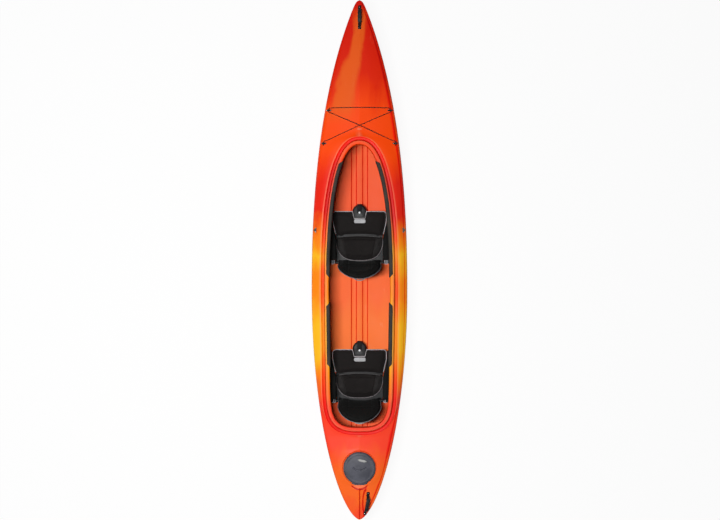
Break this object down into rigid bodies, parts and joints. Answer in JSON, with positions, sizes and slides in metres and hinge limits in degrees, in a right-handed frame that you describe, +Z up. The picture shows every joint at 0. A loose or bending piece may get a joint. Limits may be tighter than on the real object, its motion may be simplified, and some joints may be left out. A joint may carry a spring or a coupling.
{
  "type": "tandem recreational kayak",
  "caption": "Sit-in tandem kayak: moulded hull with one long padded cockpit, cushioned seats with hinged backrests and leg rests, sliding foot braces and a round stern hatch.",
  "frame": {"origin": "on the floor under the middle of the hull, where the keel strakes stand", "axes": "+Y points to the bow, +X to starboard and +Z up"},
  "size_m": [0.764, 4.11, 0.4198],
  "materials": {
    "hull_polyethylene": "moulded-in blend of red, orange and yellow, semi-gloss",
    "closed_foam": "closed-cell foam",
    "pad_foam": "moulded foam, matt",
    "fitting_plastic": "satin black",
    "stainless": "satin",
    "cord_sleeve": "braided sleeve",
    "webbing": "woven webbing",
    "grip_rubber": "matt",
    "hatch_plastic": "satin slate grey",
    "seal_rubber": "matt",
    "rail_aluminium": "black anodised",
    "lock_plastic": "satin grey",
    "bracket_aluminium": "grey anodised",
    "seat_plastic": "grained black",
    "seat_fabric": "woven nylon over foam, piped edges"
  },
  "bodies": {
    "kayak": {"hull_shell": "hull_polyethylene", "stern_bulkhead": "closed_foam", "bow_foam_pillar": "closed_foam", "deck_eye_front_left": "fitting_plastic", "deck_eye_front_right": "fitting_plastic", "deck_eye_rear_left": "fitting_plastic", "deck_eye_rear_right": "fitting_plastic", "side_eye_left": "fitting_plastic", "side_eye_right": "fitting_plastic", "eye_screws": "stainless", "deck_bungee": "cord_sleeve", "bow_handle_strap": "webbing", "bow_handle_grip": "grip_rubber", "stern_handle_strap": "webbing", "stern_handle_grip": "grip_rubber", "handle_screws": "stainless", "thigh_pad_front_left": "pad_foam", "thigh_pad_front_right": "pad_foam", "thigh_pad_rear_left": "pad_foam", "thigh_pad_rear_right": "pad_foam", "foot_rail_front_left": "rail_aluminium", "foot_rail_front_right": "rail_aluminium", "foot_rail_rear_left": "rail_aluminium", "foot_rail_rear_right": "rail_aluminium", "foot_rail_bolts": "stainless", "front_seat_pan": "seat_plastic", "front_seat_cushion": "seat_fabric", "front_leg_rest_pins": "stainless", "front_seat_brackets": "bracket_aluminium", "front_backrest_pins": "stainless", "front_strap_buckle": "fitting_plastic", "front_lifter_strap": "webbing", "rear_seat_pan": "seat_plastic", "rear_seat_cushion": "seat_fabric", "rear_leg_rest_pins": "stainless", "rear_seat_brackets": "bracket_aluminium", "rear_backrest_pins": "stainless", "rear_strap_buckle": "fitting_plastic", "rear_lifter_strap": "webbing", "bracket_screws": "stainless"},
    "hatch_cover": {"hatch_lid": "hatch_plastic", "hatch_seal": "seal_rubber"},
    "front_backrest": {"front_backrest_shell": "seat_plastic", "front_backrest_pad": "seat_fabric"},
    "front_leg_rest": {"front_leg_rest_board": "seat_plastic", "front_leg_rest_pad": "seat_fabric"},
    "rear_backrest": {"rear_backrest_shell": "seat_plastic", "rear_backrest_pad": "seat_fabric"},
    "rear_leg_rest": {"rear_leg_rest_board": "seat_plastic", "rear_leg_rest_pad": "seat_fabric"},
    "front_left_pedal": {"foot_pedal_front_left": "fitting_plastic"},
    "front_left_pedal_lock": {"pedal_lock_front_left": "lock_plastic"},
    "front_right_pedal": {"foot_pedal_front_right": "fitting_plastic"},
    "front_right_pedal_lock": {"pedal_lock_front_right": "lock_plastic"},
    "rear_left_pedal": {"foot_pedal_rear_left": "fitting_plastic"},
    "rear_left_pedal_lock": {"pedal_lock_rear_left": "lock_plastic"},
    "rear_right_pedal": {"foot_pedal_rear_right": "fitting_plastic"},
    "rear_right_pedal_lock": {"pedal_lock_rear_right": "lock_plastic"}
  },
  "joints": [
    {"name": "hatch_cover_lift", "type": "slide", "parent": "kayak", "child": "hatch_cover", "axis": [0, 0, 1], "range_m": [0, 0.08]},
    {"name": "front_backrest_recline", "type": "hinge", "parent": "kayak", "child": "front_backrest", "pos_m": [0, -0.016, 0.132], "axis": [1, 0, 0], "range_deg": [-70, 12]},
    {"name": "front_leg_rest_lift", "type": "hinge", "parent": "kayak", "child": "front_leg_rest", "pos_m": [0, 0.208, 0.088], "axis": [1, 0, 0], "range_deg": [0, 14]},
    {"name": "rear_backrest_recline", "type": "hinge", "parent": "kayak", "child": "rear_backrest", "pos_m": [0, -1.136, 0.132], "axis": [1, 0, 0], "range_deg": [-70, 12]},
    {"name": "rear_leg_rest_lift", "type": "hinge", "parent": "kayak", "child": "rear_leg_rest", "pos_m": [0, -0.912, 0.088], "axis": [1, 0, 0], "range_deg": [0, 14]},
    {"name": "front_left_pedal_slide", "type": "slide", "parent": "kayak", "child": "front_left_pedal", "axis": [0.1558, 0.9878, 0], "range_m": [-0.11, 0.11]},
    {"name": "front_left_pedal_lock_lift", "type": "hinge", "parent": "front_left_pedal", "child": "front_left_pedal_lock", "pos_m": [-0.27275, 1.00673, 0.164], "axis": [-0.9878, 0.1558, 0], "range_deg": [0, 25], "stiffness_Nm_per_rad": 0.2, "springref_deg": -11.46},
    {"name": "front_right_pedal_slide", "type": "slide", "parent": "kayak", "child": "front_right_pedal", "axis": [-0.1558, 0.9878, 0], "range_m": [-0.11, 0.11]},
    {"name": "front_right_pedal_lock_lift", "type": "hinge", "parent": "front_right_pedal", "child": "front_right_pedal_lock", "pos_m": [0.27275, 1.00673, 0.164], "axis": [-0.9878, -0.1558, 0], "range_deg": [0, 25], "stiffness_Nm_per_rad": 0.2, "springref_deg": -11.46},
    {"name": "rear_left_pedal_slide", "type": "slide", "parent": "kayak", "child": "rear_left_pedal", "axis": [0.006, 1, 0], "range_m": [-0.11, 0.11]},
    {"name": "rear_left_pedal_lock_lift", "type": "hinge", "parent": "rear_left_pedal", "child": "rear_left_pedal_lock", "pos_m": [-0.35524, -0.088, 0.164], "axis": [-1, 0.006, 0], "range_deg": [0, 25], "stiffness_Nm_per_rad": 0.2, "springref_deg": -11.46},
    {"name": "rear_right_pedal_slide", "type": "slide", "parent": "kayak", "child": "rear_right_pedal", "axis": [-0.006, 1, 0], "range_m": [-0.11, 0.11]},
    {"name": "rear_right_pedal_lock_lift", "type": "hinge", "parent": "rear_right_pedal", "child": "rear_right_pedal_lock", "pos_m": [0.35524, -0.088, 0.164], "axis": [-1, -0.006, 0], "range_deg": [0, 25], "stiffness_Nm_per_rad": 0.2, "springref_deg": -11.46}
  ]
}
